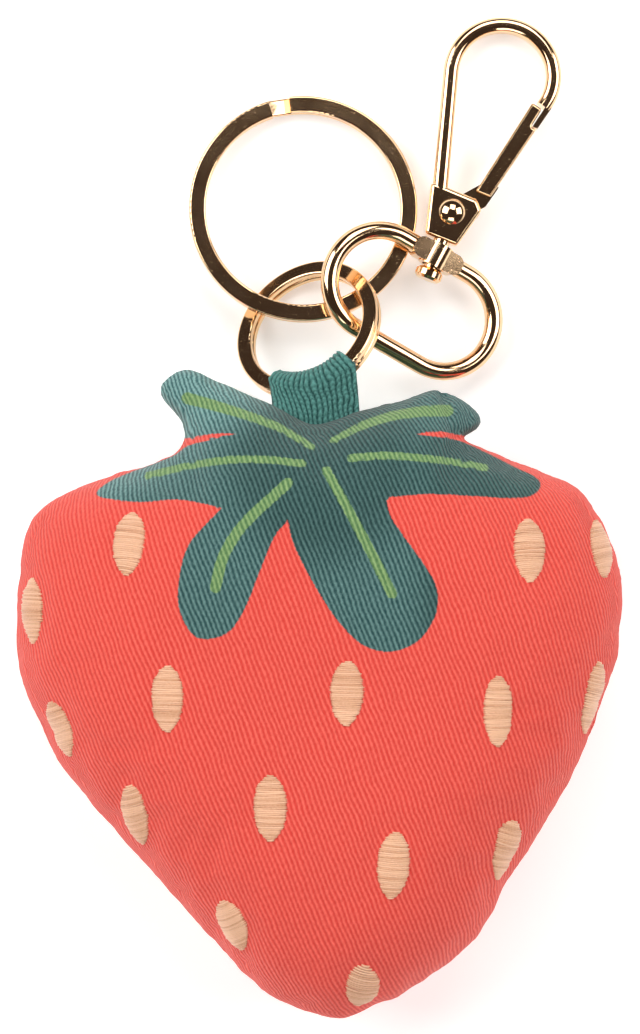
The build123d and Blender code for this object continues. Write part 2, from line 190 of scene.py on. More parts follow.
# ------------------------------------------------------------------ shader helpers
class Nodes:
    """A material under construction, with short calls for the nodes it uses."""

    def __init__(self, name):
        self.material = bpy.data.materials.new(name)
        self.material.use_nodes = True
        self.tree = self.material.node_tree
        self.shader = self.tree.nodes["Principled BSDF"]

    def put(self, value, socket):
        if isinstance(value, bpy.types.NodeSocket):
            self.tree.links.new(value, socket)
        else:
            socket.default_value = value

    def math(self, operation, *values):
        node = self.tree.nodes.new("ShaderNodeMath")
        node.operation = operation
        for value, socket in zip(values, node.inputs):
            self.put(value, socket)
        return node.outputs[0]

    def around(self, value, gain):
        """A noise value moved to lie around zero, then scaled."""
        return self.math("MULTIPLY", self.math("SUBTRACT", value, 0.5), gain)

    def total(self, *parts):
        """The sum of some values, each times its own gain."""
        found = None
        for value, gain in parts:
            part = self.math("MULTIPLY", value, gain)
            found = part if found is None else self.math("ADD", found, part)
        return found

    def ripple(self, turns):
        """0 to 1 and back, once for each whole turn."""
        angle = self.math("MULTIPLY", turns, 2 * math.pi)
        return self.math("MULTIPLY_ADD", self.math("COSINE", angle), 0.5, 0.5)

    def ramp(self, value, low, high):
        """0 below low, 1 above high, smooth between."""
        node = self.tree.nodes.new("ShaderNodeMapRange")
        node.interpolation_type = "SMOOTHSTEP"
        for entry, given in (("Value", value), ("From Min", low), ("From Max", high)):
            self.put(given, node.inputs[entry])
        return node.outputs["Result"]

    def mix(self, share, a, b):
        node = self.tree.nodes.new("ShaderNodeMix")
        node.data_type = "RGBA"
        for value, socket in ((share, node.inputs[0]), (a, node.inputs[6]), (b, node.inputs[7])):
            self.put(value, socket)
        return node.outputs[2]

    def attribute(self, name):
        node = self.tree.nodes.new("ShaderNodeAttribute")
        node.attribute_name = name
        return node.outputs["Fac"]

    def object_place(self):
        return self.tree.nodes.new("ShaderNodeTexCoord").outputs["Object"]

    def join(self, x, y, z=0.0):
        node = self.tree.nodes.new("ShaderNodeCombineXYZ")
        for value, socket in zip((x, y, z), node.inputs):
            self.put(value, socket)
        return node.outputs[0]

    def noise(self, vector, scale, detail=2.0, roughness=0.5):
        node = self.tree.nodes.new("ShaderNodeTexNoise")
        node.inputs["Scale"].default_value = scale
        node.inputs["Detail"].default_value = detail
        node.inputs["Roughness"].default_value = roughness
        self.put(vector, node.inputs["Vector"])
        return node.outputs["Fac"]

    def bump(self, height, distance, strength=1.0, below=None):
        node = self.tree.nodes.new("ShaderNodeBump")
        node.inputs["Strength"].default_value = strength
        node.inputs["Distance"].default_value = distance
        self.put(height, node.inputs["Height"])
        if below is not None:
            self.put(below, node.inputs["Normal"])
        return node.outputs["Normal"]

    def finish(self, colour, roughness, normal=None, **constants):
        self.put(colour, self.shader.inputs["Base Color"])
        self.put(roughness, self.shader.inputs["Roughness"])
        if normal is not None:
            self.put(normal, self.shader.inputs["Normal"])
        for name, value in constants.items():
            self.shader.inputs[name.replace("_", " ")].default_value = value
        return self.material


def colour(red, green, blue):
    """An sRGB colour, 0 to 255, as linear RGBA."""
    shares = [c / 255 for c in (red, green, blue)]
    return (*[s / 12.92 if s <= 0.04045 else ((s + 0.055) / 1.055) ** 2.4 for s in shares], 1)


# ------------------------------------------------------------------ materials
# The cloth's own coordinates are in millimetres, and the other materials' are in metres.
RIB_SPACING = 0.62
RIB_TURN = math.radians(69)
FLOAT_LENGTH = 0.78
FLOAT_SLANT = 0.62
PRINT_EDGE = 0.10
RIB_DRIFT = 1.1
BLEED = 0.35


def twill_material():
    """Cotton twill, printed red with a green leaf crown and paler veins, with painted shade in the rib
    grooves and painted light on the crown.
    """
    n = Nodes("strawberry_twill")
    x = n.attribute("cloth_x")
    y = n.attribute("cloth_y")
    place = n.join(x, y)
    drift = n.around(n.noise(place, 0.22, 2), RIB_DRIFT)
    across = n.total((x, math.sin(RIB_TURN) / RIB_SPACING), (y, math.cos(RIB_TURN) / RIB_SPACING))
    across = n.math("ADD", across, drift)
    along = n.total((x, math.cos(RIB_TURN) / FLOAT_LENGTH), (y, -math.sin(RIB_TURN) / FLOAT_LENGTH))
    rib = n.ripple(across)
    yarn = n.ripple(n.math("ADD", along, n.math("MULTIPLY", across, FLOAT_SLANT)))
    fuzz = n.noise(place, 5.5, 3, 0.65)
    speck = n.noise(n.join(across, n.math("MULTIPLY", along, 0.8)), 1.7, 1)
    height = n.total((rib, 0.72), (yarn, 0.07), (fuzz, 0.30))
    # Colour follows the rib and yarn relief: darker in the grooves as painted shade and lighter on the ribs
    # as painted light, plus random speck and fuzz tone.
    tone_and_groove_shade = n.total((rib, 0.56), (yarn, 0.10))
    tone_and_groove_shade = n.math("ADD", tone_and_groove_shade, n.around(speck, 0.55))
    tone_and_groove_shade = n.math("ADD", tone_and_groove_shade, n.around(fuzz, 0.60))
    tone_and_groove_shade = n.ramp(tone_and_groove_shade, -0.15, 0.95)
    red = n.mix(tone_and_groove_shade, colour(214, 58, 50), colour(248, 112, 98))
    # Painted light and shade on the leaf crown: lighter green towards the outer leaves and the upper left
    # tip, darker on the right leaf.
    painted_light = n.attribute("painted_light")
    green_low = n.mix(painted_light, colour(20, 53, 54), colour(39, 88, 90))
    green_high = n.mix(painted_light, colour(80, 117, 114), colour(145, 188, 185))
    green = n.mix(tone_and_groove_shade, green_low, green_high)
    vein = n.mix(tone_and_groove_shade, colour(78, 118, 72), colour(150, 182, 122))
    bleed = n.around(n.noise(place, 3.2, 2), BLEED)
    leaf_edge = n.math("ADD", n.attribute("leaf_depth"), bleed)
    vein_edge = n.math("ADD", n.attribute("vein_depth"), bleed)
    paint = n.mix(n.ramp(leaf_edge, -PRINT_EDGE, PRINT_EDGE), red, green)
    paint = n.mix(n.ramp(vein_edge, -PRINT_EDGE, PRINT_EDGE), paint, vein)
    tuft = n.bump(n.noise(place, 16, 2, 0.7), 0.05 * MM, 0.5)
    return n.finish(
        paint,
        0.86,
        n.bump(height, 0.16 * MM, 1.0, tuft),
        Sheen_Weight=0.18,
        Sheen_Roughness=0.45,
        Sheen_Tint=(1, 0.93, 0.9, 1),
        Specular_IOR_Level=0.25,
    )


def tape_material():
    """Teal rib-knitted tape, its colour darker between ribs and stitches and on its inner face as painted
    shade.
    """
    n = Nodes("loop_tape")
    place = n.object_place()
    fuzz = n.noise(place, 5200, 3, 0.7)
    patch = n.noise(place, 900, 2)
    # The knit relief darkens the colour between ribs and stitch loops as painted shade, darker still on the
    # inner face, with random fuzz and patch tone.
    tone_and_groove_shade = n.math("ADD", n.attribute("knit_shade"), n.around(fuzz, 0.9))
    tone_and_groove_shade = n.math("ADD", tone_and_groove_shade, n.around(patch, 0.4))
    paint = n.mix(n.ramp(tone_and_groove_shade, -0.05, 1.1), colour(14, 58, 56), colour(92, 150, 143))
    return n.finish(
        paint,
        0.88,
        n.bump(fuzz, 0.10 * MM, 0.9),
        Sheen_Weight=0.3,
        Sheen_Roughness=0.4,
        Specular_IOR_Level=0.25,
    )


def thread_material():
    """Cream embroidery thread with a silky twist."""
    n = Nodes("seed_thread")
    place = n.object_place()
    strand = n.attribute("strand")
    twist = n.noise(place, 4300, 2, 0.6)
    # Here the tone is only each strand's random tone and its twist, with no painted shade.
    tone_and_groove_shade = n.math("ADD", strand, n.around(twist, 0.7))
    paint = n.mix(n.ramp(tone_and_groove_shade, -0.2, 1.0), colour(190, 128, 88), colour(236, 190, 156))
    return n.finish(
        paint,
        0.4,
        n.bump(twist, 0.04 * MM, 0.6),
        Sheen_Weight=0.2,
        Sheen_Roughness=0.3,
        Specular_IOR_Level=0.6,
    )


def fill_material():
    """White polyester fibre."""
    n = Nodes("polyester_fill")
    fibre = n.noise(n.object_place(), 1500, 4, 0.7)
    paint = n.mix(fibre, colour(214, 212, 208), colour(246, 245, 242))
    return n.finish(paint, 0.95, n.bump(fibre, 0.5 * MM), Sheen_Weight=0.4)


def gold_material():
    """Light gold plate, polished, with faint handling marks."""
    n = Nodes("gold_plate")
    place = n.object_place()
    haze = n.noise(place, 260, 3)
    rub = n.noise(place, 2600, 2)
    specks = n.ramp(n.noise(place, 3000, 2, 0.6), 0.64, 0.74)
    paint = n.mix(haze, colour(236, 196, 150), colour(247, 212, 172))
    roughness = n.math("MULTIPLY_ADD", haze, 0.08, 0.06)
    roughness = n.math("MULTIPLY_ADD", specks, 0.14, roughness)
    dents = n.math("MULTIPLY_ADD", specks, 0.5, rub)
    return n.finish(paint, roughness, n.bump(dents, 0.004 * MM, 0.4), Metallic=1.0)


def spring_material():
    """Bright drawn steel wire."""
    n = Nodes("spring_steel")
    place = n.object_place()
    drawn = n.noise(place, 3000, 2)
    paint = n.mix(drawn, colour(150, 150, 152), colour(196, 196, 198))
    return n.finish(paint, n.math("MULTIPLY_ADD", drawn, 0.2, 0.2), Metallic=1.0)


def floor_material():
    """White paper, lit a little from behind so that it stays white."""
    n = Nodes("floor")
    paper = n.noise(n.object_place(), 40, 3)
    paint = n.mix(paper, (0.93, 0.93, 0.93, 1), (0.96, 0.96, 0.96, 1))
    return n.finish(
        paint,
        0.9,
        Specular_IOR_Level=0.1,
        Emission_Color=(1, 1, 1, 1),
        Emission_Strength=0.32,
    )


twill = twill_material()
tape = tape_material()
thread = thread_material()
fill = fill_material()
gold = gold_material()
spring_steel = spring_material()

# ------------------------------------------------------------------ camera, floor and light
CAMERA_HEIGHT = 0.7
SENSOR = 36
IMAGE_LONG_SIDE = 1034
# How many picture points one metre spans when it is one metre from the camera.
PICTURE_SCALE = 5304
FLOOR_REACH = 4
LIGHT_DISTANCE = 1.1


def add_camera():
    """Straight above the middle of the object, as in the picture of it."""
    data = bpy.data.cameras.new("camera")
    data.sensor_width = SENSOR
    data.lens = PICTURE_SCALE / IMAGE_LONG_SIDE * SENSOR
    data.clip_start = 0.01
    data.clip_end = 20
    camera = bpy.data.objects.new("camera", data)
    camera.location = (0, 0, CAMERA_HEIGHT)
    bpy.context.scene.collection.objects.link(camera)
    bpy.context.scene.camera = camera


def add_floor():
    """The white ground that the charm lies on."""
    reach = FLOOR_REACH
    corners = [(-reach, -reach, 0), (reach, -reach, 0), (reach, reach, 0), (-reach, reach, 0)]
    floor = new_object("floor", corners, [(0, 1, 2, 3)])
    floor.data.materials.append(floor_material())


def add_softbox(name, heading, elevation, power, size):
    """A square light aimed at the object. Its heading is counted in degrees from the X axis."""
    turn, rise = math.radians(heading), math.radians(elevation)
    towards = Vector((math.cos(turn) * math.cos(rise), math.sin(turn) * math.cos(rise), math.sin(rise)))
    data = bpy.data.lights.new(name, "AREA")
    data.energy = power
    data.size = size
    data.color = (1, 0.985, 0.965)
    light = bpy.data.objects.new(name, data)
    light.location = towards * LIGHT_DISTANCE
    light.rotation_mode = "QUATERNION"
    light.rotation_quaternion = towards.to_track_quat("Z", "Y")
    light.visible_camera = False
    bpy.context.scene.collection.objects.link(light)


def add_room():
    """A dim ceiling over a pale horizon."""
    world = bpy.data.worlds.new("room")
    world.use_nodes = True
    tree = world.node_tree
    place = tree.nodes.new("ShaderNodeTexCoord")
    split = tree.nodes.new("ShaderNodeSeparateXYZ")
    tree.links.new(place.outputs["Generated"], split.inputs[0])
    ramp = tree.nodes.new("ShaderNodeValToRGB")
    horizon, ceiling = ramp.color_ramp.elements
    horizon.position = 0.02
    horizon.color = (0.75, 0.73, 0.70, 1)
    ceiling.position = 0.13
    ceiling.color = (0.042, 0.031, 0.027, 1)
    tree.links.new(split.outputs["Z"], ramp.inputs[0])
    tree.links.new(ramp.outputs[0], tree.nodes["Background"].inputs["Color"])
    bpy.context.scene.world = world


add_camera()
add_floor()
add_room()
add_softbox("left_softbox", 155, 42, 9.4, 0.8)
add_softbox("right_softbox", 15, 38, 6.4, 0.7)
add_softbox("top_softbox", 80, 50, 4.2, 0.6)
add_softbox("front_softbox", 265, 36, 4.6, 0.7)
bpy.context.scene.view_settings.view_transform = "Standard"

# ------------------------------------------------------------------ the strawberry's shape, in millimetres
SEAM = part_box("front_panel")[0].z / MM
FRONT_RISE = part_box("front_panel")[1].z / MM - SEAM
BACK_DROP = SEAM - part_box("back_panel")[0].z / MM
MIDDLE = np.array([0.0, -24.0])
MIDDLE_RADIUS = 38.0
OUTLINE_SPACING = 1.15
GRID = 1.5
EDGE_BAND = 1.0
EDGE_STEPS = 5
FABRIC = 0.5
MEMBRANE_STEPS = 900
MEMBRANE_ERROR = 1e-12
# The back would bulge this much further, but the table presses it flat just above the floor.
BACK_BULGE = 0.6
FLOOR_GAP = 0.02
FRONT_ROUNDNESS = 2.3
BACK_ROUNDNESS = 3.3

# The seam line seen from above, anticlockwise from the left of the hanging loop.
SEAM_LINE = [
    (-3.4, 13.0), (-5.9, 14.4), (-11.3, 16.8), (-15.4, 18.6), (-17.4, 19.2), (-19.5, 18.1), (-20.8, 16.6),
    (-20.3, 15.1), (-18.2, 12.7), (-17.4, 11.0), (-17.6, 9.6), (-18.8, 8.2), (-22.0, 6.8), (-26.4, 5.6),
    (-30.9, 4.0), (-34.0, 2.5), (-36.6, 0.4), (-38.2, -2.8), (-39.1, -8.4), (-39.4, -13.0),
    (-39.2, -17.7), (-38.2, -22.4), (-36.2, -27.0), (-33.9, -31.7), (-30.0, -36.4), (-26.1, -41.0),
    (-22.0, -45.7), (-17.8, -50.3), (-13.5, -55.1), (-9.3, -59.6), (-4.7, -62.9), (2.4, -64.8),
    (8.4, -62.8), (12.0, -60.9), (16.1, -58.1), (19.8, -54.9), (22.0, -51.7), (24.2, -47.4),
    (27.4, -42.6), (30.1, -37.9), (32.6, -33.2), (34.8, -28.6), (36.7, -23.9), (38.3, -19.2), (38.9, -14.6),
    (39.2, -10.0), (38.6, -5.6), (37.4, -2.2), (35.7, 0.9), (33.2, 3.9), (28.6, 5.9), (24.6, 7.4),
    (21.0, 8.9), (18.2, 10.2), (19.6, 10.9), (20.9, 12.1), (20.5, 13.5), (18.9, 14.9), (16.6, 16.1),
    (14.6, 16.5), (10.2, 15.1), (5.1, 13.7), (2.3, 12.7), (-0.8, 12.0),
]


def membrane(points, triangles, edge):
    """How far a film stretched over the outline rises at each point under an even push, 0 to 1."""
    corner = points[triangles]
    pairs, weights = [], []
    for k in range(3):
        a, b, c = corner[:, k], corner[:, (k + 1) % 3], corner[:, (k + 2) % 3]
        u, v = b - a, c - a
        area = np.abs(u[:, 0] * v[:, 1] - u[:, 1] * v[:, 0])
        weights.append(0.5 * (u * v).sum(1) / np.maximum(area, 1e-9))
        pairs.append(triangles[:, [(k + 1) % 3, (k + 2) % 3]])
    area = area / 2
    i, j = np.concatenate(pairs).T
    w = np.maximum(np.concatenate(weights), 1e-4)
    count = len(points)
    diagonal = np.bincount(i, w, count) + np.bincount(j, w, count)
    push = sum(np.bincount(triangles[:, k], area / 3, count) for k in range(3))
    free = np.ones(count)
    free[edge] = 0

    def pull(x):
        return free * (diagonal * x - np.bincount(i, w * x[j], count) - np.bincount(j, w * x[i], count))

    rise = np.zeros(count)
    left = free * push
    search = left.copy()
    size = left @ left
    for _ in range(MEMBRANE_STEPS):
        pulled = pull(search)
        step = size / (search @ pulled)
        rise += step * search
        left -= step * pulled
        new_size = left @ left
        if new_size < MEMBRANE_ERROR:
            break
        search = left + new_size / size * search
        size = new_size
    return rise / rise.max()


def inner_points(outline, spacing, margin):
    """A hexagonal grid of points inside the outline, kept back from it by margin."""
    low, high = outline.min(0), outline.max(0)
    rows = np.arange(low[1], high[1], spacing * math.sqrt(3) / 2)
    grid = np.array([
        (x, y)
        for k, y in enumerate(rows)
        for x in np.arange(low[0] + spacing / 2 * (k % 2), high[0], spacing)
    ])
    grid = grid[inside(grid, outline)]
    return grid[distance_to_line(grid, outline, closed=True) > margin]


def flat_pattern():
    """The panel's outline filled with triangles.

    It gives the outline, the way inwards at each of its points, all the points, the triangles clear of the
    outline, each point's rise, and which points make up the first ring inside the outline.
    """
    outline = evenly(catmull_rom(SEAM_LINE, closed=True), OUTLINE_SPACING)
    ahead, behind = np.roll(outline, -1, 0), np.roll(outline, 1, 0)
    along = unit_rows(ahead - behind)
    inwards = np.stack([-along[:, 1], along[:, 0]], 1)
    for _ in range(3):
        inwards = (np.roll(inwards, 1, 0) + 2 * inwards + np.roll(inwards, -1, 0)) / 4
    inner_ring = outline + inwards * EDGE_BAND
    count = len(outline)
    start = np.vstack([outline, inner_ring, inner_points(outline, GRID, EDGE_BAND + GRID * 0.55)])
    ring_edges = [(k, (k + 1) % count) for k in range(count)]
    ring_edges += [(count + k, count + (k + 1) % count) for k in range(count)]
    points, _, triangles, came_from, _, _ = geometry.delaunay_2d_cdt(
        [Vector(p) for p in start], ring_edges, [list(range(count))], 1, 1e-6
    )
    order = np.full(len(points), -1)
    for now, was in enumerate(came_from):
        order[now] = was[0]
    points = np.array([start[k] for k in order])
    triangles = np.array(triangles)
    new_of_old = np.zeros(len(start), int)
    new_of_old[order] = np.arange(len(points))
    edge = new_of_old[:count]
    ring = new_of_old[count:2 * count]
    rise = membrane(points, triangles, edge)
    middle = [t for t in triangles if not set(t) & set(edge.tolist())]
    return outline, inwards, points, np.array(middle), rise, ring


def height_of(rise, side):
    """Millimetres above or below the seam for a share of the membrane's rise."""
    if side > 0:
        return FRONT_RISE * np.sqrt(1 - (1 - rise) ** FRONT_ROUNDNESS)
    drop = (BACK_DROP + BACK_BULGE) * np.sqrt(1 - (1 - rise) ** BACK_ROUNDNESS)
    return -np.minimum(drop, BACK_DROP - FLOOR_GAP)


def pillow_side(pattern, side):
    """Vertices, triangles and rises of one side: rings at the steep edge, then the pattern's middle."""
    outline, inwards, points, middle, rise, ring = pattern
    count = len(outline)
    used = np.unique(middle)
    vertices, rises, faces = [], [], []
    ring_rise = rise[ring]
    for _ in range(4):
        ring_rise = (np.roll(ring_rise, 1) + 2 * ring_rise + np.roll(ring_rise, -1)) / 4
    for k in range(EDGE_STEPS):
        share = (k / EDGE_STEPS) ** 2
        here = outline + inwards * EDGE_BAND * share
        level = ring_rise * share
        vertices.append(np.column_stack([here, SEAM + height_of(level, side)]))
        rises.append(level)
    smooth_rise = rise.copy()
    smooth_rise[ring] = ring_rise
    new = np.zeros(len(points), int)
    new[used] = np.arange(len(used)) + EDGE_STEPS * count
    vertices.append(np.column_stack([points[used], SEAM + height_of(smooth_rise[used], side)]))
    rises.append(smooth_rise[used])
    for k in range(EDGE_STEPS):
        for m in range(count):
            after = (m + 1) % count
            if k < EDGE_STEPS - 1:
                upper = [(k + 1) * count + m, (k + 1) * count + after]
            else:
                upper = [new[ring[m]], new[ring[after]]]
            faces.append([k * count + m, k * count + after, upper[1], upper[0]][::side])
    for a, b, c in new[middle]:
        faces.append([a, b, c][::side])
    return np.vstack(vertices), faces, np.concatenate(rises)


# ------------------------------------------------------------------ the leaf crown's print and its painted light, in millimetres
CROWN_CENTRE = np.array([0.5, 6.5])
# Shares of painted light on the crown's green: one on the outer leaves, one on the upper left tip.
LEAF_PAINTED_LIGHT = 0.33
TIP_PAINTED_LIGHT = 0.67
# Each run is a smooth line, and the runs meet in the crown's corners.
CROWN_RUNS = [
    [(-4.1, -0.3), (-3.3, -3.5), (-0.7, -8.6), (2.4, -13.3), (5.5, -16.2), (8.9, -17.0), (12.3, -15.7),
     (14.5, -12.6), (14.8, -9.2), (13.3, -6.2), (10.7, -2.6), (8.9, 0.2), (8.4, 2.5)],
    [(8.4, 2.5), (13.8, 2.9), (19.0, 2.7), (24.2, 2.4), (27.2, 2.8), (28.3, 4.2), (27.4, 5.3), (25.5, 6.2),
     (22.2, 7.9), (18.2, 9.7), (15.0, 10.25), (12.0, 10.5)],
    [(12.0, 10.5), (14.6, 10.95), (17.4, 10.65), (24.0, 9.4)],
    [(24.0, 9.4), (26.0, 18.0), (0.0, 24.0), (-26.0, 22.0), (-25.0, 11.6)],
    [(-25.0, 11.6), (-20.6, 10.5), (-17.3, 10.15), (-14.0, 10.6), (-10.4, 10.7)],
    [(-10.4, 10.7), (-14.0, 9.85), (-17.1, 9.1), (-18.9, 7.9), (-23.6, 6.1), (-27.2, 4.5), (-28.7, 2.9),
     (-26.2, 2.2), (-22.6, 1.9), (-17.9, 2.2), (-12.4, 1.2)],
    [(-12.4, 1.2), (-16.6, -3.5), (-17.9, -8.6), (-17.6, -12.3), (-15.9, -15.0), (-13.8, -15.4),
     (-11.4, -14.4), (-9.5, -11.6), (-7.5, -6.6), (-5.8, -2.6), (-4.1, -0.3)],
]
# Each vein's line, and its half width at the start and at the end.
VEINS = [
    ([(-1.0, 8.9), (-5.6, 11.6), (-11.2, 13.6), (-17.1, 15.3)], 0.45, 0.78),
    ([(-2.2, 6.8), (-7.0, 7.3), (-12.2, 7.2), (-17.4, 6.4), (-22.1, 5.3)], 0.50, 0.50),
    ([(-4.1, 4.3), (-9.6, -0.9), (-12.2, -5.0), (-13.2, -8.9)], 0.68, 0.72),
    ([(0.8, 5.9), (3.2, 1.6), (6.3, -4.2), (9.1, -9.7)], 0.60, 0.66),
    ([(3.9, 7.5), (8.2, 7.8), (12.8, 7.5), (17.2, 7.0), (21.1, 6.3)], 0.52, 0.48),
    ([(1.6, 9.7), (5.2, 11.6), (9.1, 12.9), (12.8, 13.5), (16.4, 13.7)], 0.45, 0.80),
]


def leaf_depth(flat):
    """How far inside the printed crown each point lies; negative outside it."""
    crown = np.vstack([catmull_rom(run, step=0.5)[:-1] for run in CROWN_RUNS])
    depth = distance_to_line(flat, crown, closed=True)
    return np.where(inside(flat, crown), depth, -depth)


def painted_crown_light(here):
    """How much painted light the crown's green gets, making it lighter.

    It is most on the upper left tip and least in the middle and on the right leaf, which stays in painted
    shade.
    """
    x, y = here[:, 0], here[:, 1]
    outer = smooth_step(np.linalg.norm(here[:, :2] - CROWN_CENTRE, axis=1), 8, 16)
    right_leaf = smooth_step(x, 10, 16) * (1 - smooth_step(y, 9, 12))
    left_tip = smooth_step(y - 0.6 * x, 14, 24)
    return LEAF_PAINTED_LIGHT * outer * (1 - right_leaf) + TIP_PAINTED_LIGHT * left_tip


def vein_depth(flat):
    """How far inside the nearest vein's stroke each point lies."""
    best = np.full(len(flat), -50.0)
    for line, first, last in VEINS:
        path = catmull_rom(line, step=0.5)
        for k, point in enumerate(path):
            radius = first + (last - first) * k / (len(path) - 1)
            best = np.maximum(best, radius - np.linalg.norm(flat - point, axis=1))
    return best


# ------------------------------------------------------------------ stuffing the strawberry
# The cloth is simulated ten times as large, where the cloth solver is steady.
SIM_SCALE = 10
SIM_FRAMES = 20
SIM_PRESSURE = 5
SPARE_CLOTH = -0.012
SWELL_LIMIT = 1.1
# Towards the crown the back is kept inside the hard panel, from the first line up to the second in full.
SLIM_FROM = -14.0
SLIM_FULL = -2.0
SLIM_MARGIN = 0.4
SEAM_CLEARANCE = 0.01
FILL_INSET = 1.5
FILL_LUMPS = 0.35


def closed_form(sides):
    """Both sides of the pillow as one closed mesh, joined along the seam."""
    (front, front_faces, _), (back, back_faces, _) = sides
    seam_count = len(flat_outline)
    shift = len(front) - seam_count

    def moved(k):
        return k if k < seam_count else k + shift

    vertices = np.vstack([front, back[seam_count:]])
    faces = front_faces + [[moved(k) for k in face] for face in back_faces]
    return vertices, faces


def stuffed(vertices, faces):
    """The closed form after air pressure has swelled its cloth between the pinned seam, in millimetres."""
    form = new_object("form", vertices * MM * SIM_SCALE, faces)
    pinned = form.vertex_groups.new(name="seam")
    pinned.add(list(range(len(flat_outline))), 1.0, "REPLACE")
    cloth = form.modifiers.new("cloth", "CLOTH")
    settings = cloth.settings
    settings.quality = 6
    settings.mass = 0.12
    settings.tension_stiffness = 12
    settings.compression_stiffness = 12
    settings.shear_stiffness = 4
    settings.bending_stiffness = 0.6
    settings.use_pressure = True
    settings.uniform_pressure_force = SIM_PRESSURE
    settings.shrink_min = SPARE_CLOTH
    settings.vertex_group_mass = "seam"
    settings.effector_weights.gravity = 0
    cloth.collision_settings.use_collision = False
    bpy.context.scene.use_gravity = False
    for number in range(1, SIM_FRAMES + 1):
        bpy.context.scene.frame_set(number)
    graph = bpy.context.evaluated_depsgraph_get()
    swelled = places(form.evaluated_get(graph).data) / MM / SIM_SCALE
    bpy.context.scene.frame_set(1)
    bpy.data.objects.remove(form)
    moved = swelled - vertices
    reach = np.linalg.norm(moved, axis=1)
    limited = SWELL_LIMIT * np.tanh(reach / SWELL_LIMIT)
    return vertices + moved * (limited / np.maximum(reach, 1e-9))[:, None]


def slimmed(vertices, margin):
    """The form with the crown end of its back kept inside the hard panel, clear of the hardware."""
    hard = frame["nodes"]["back_panel"].data
    surface = tree_of(places(hard) / MM, hard)
    slim = vertices.copy()
    highest = SEAM - SEAM_CLEARANCE
    for k in np.flatnonzero((vertices[:, 2] < highest) & (vertices[:, 1] > SLIM_FROM)):
        x, y, z = vertices[k]
        found, _, _, _ = surface.ray_cast(Vector((x, y, -BACK_DROP)), Vector((0, 0, 1)))
        if found is not None:
            wanted = min(found.z + margin, highest)
            slim[k, 2] += max(0.0, wanted - z) * float(smooth_step(y, SLIM_FROM, SLIM_FULL))
    return slim


# ------------------------------------------------------------------ the two fabric panels
TUCK_DEPTH = 1.4
TUCK_GAP = 0.12
SEAM_GAP = 0.45
PUCKER_REACH = 6.5
PUCKER_HEIGHT = 0.20
PUCKER_LENGTH = 3.1
SHORT_PUCKER = 0.6
SHORT_PUCKER_LENGTH = 1.7
LUMP_HEIGHT = 0.30
LUMP_SIZE = 13
CRUMPLE_HEIGHT = 0.12
CRUMPLE_SIZE = 5
SEED_DIMPLE = 0.22
# One fold crosses the upper right leaf tip.
CREASE_DEPTH = 0.5
CREASE_WIDTH = 0.7
CREASE_PLACE = (15.9, 16.4)
CREASE_TURN = math.radians(77)


def unrolled_shift(rise):
    """How much longer the cloth runs outwards from the middle than its outline shows, in millimetres."""
    reach = np.linspace(0, 1, 400)
    level = FRONT_RISE * np.sqrt(1 - reach ** (2 * FRONT_ROUNDNESS))
    steps = np.hypot(np.diff(reach * MIDDLE_RADIUS), np.diff(level))
    extra = np.concatenate([[0], np.cumsum(steps)]) - reach * MIDDLE_RADIUS
    return np.interp(np.sqrt(1 - np.clip(rise, 0, 1)), reach, extra)


def wave(place, size, seed):
    """Smooth noise from -1 to 1 for each point, with features about size millimetres across."""
    return np.array([noise.noise(Vector((p[0], p[1], p[2])) / size + Vector((seed, 0, 0))) for p in place])


def seed_frames(prefix):
    """Each seed's name, centre, long direction, and half length and width, from its CAD node."""
    found = []
    for name in sorted(n for n in frame["nodes"] if n.startswith(prefix)):
        flat = places(frame["nodes"][name].data)[:, :2] / MM
        centre = (flat.min(0) + flat.max(0)) / 2
        hull = flat - centre
        headings = [np.array([math.sin(t), math.cos(t)]) for t in np.radians(np.arange(-90, 90, 2))]
        spans = [np.ptp(hull @ h) for h in headings]
        along = headings[int(np.argmax(spans))]
        across = np.array([along[1], -along[0]])
        found.append((name, centre, along, np.ptp(hull @ along) / 2, np.ptp(hull @ across) / 2))
    return found


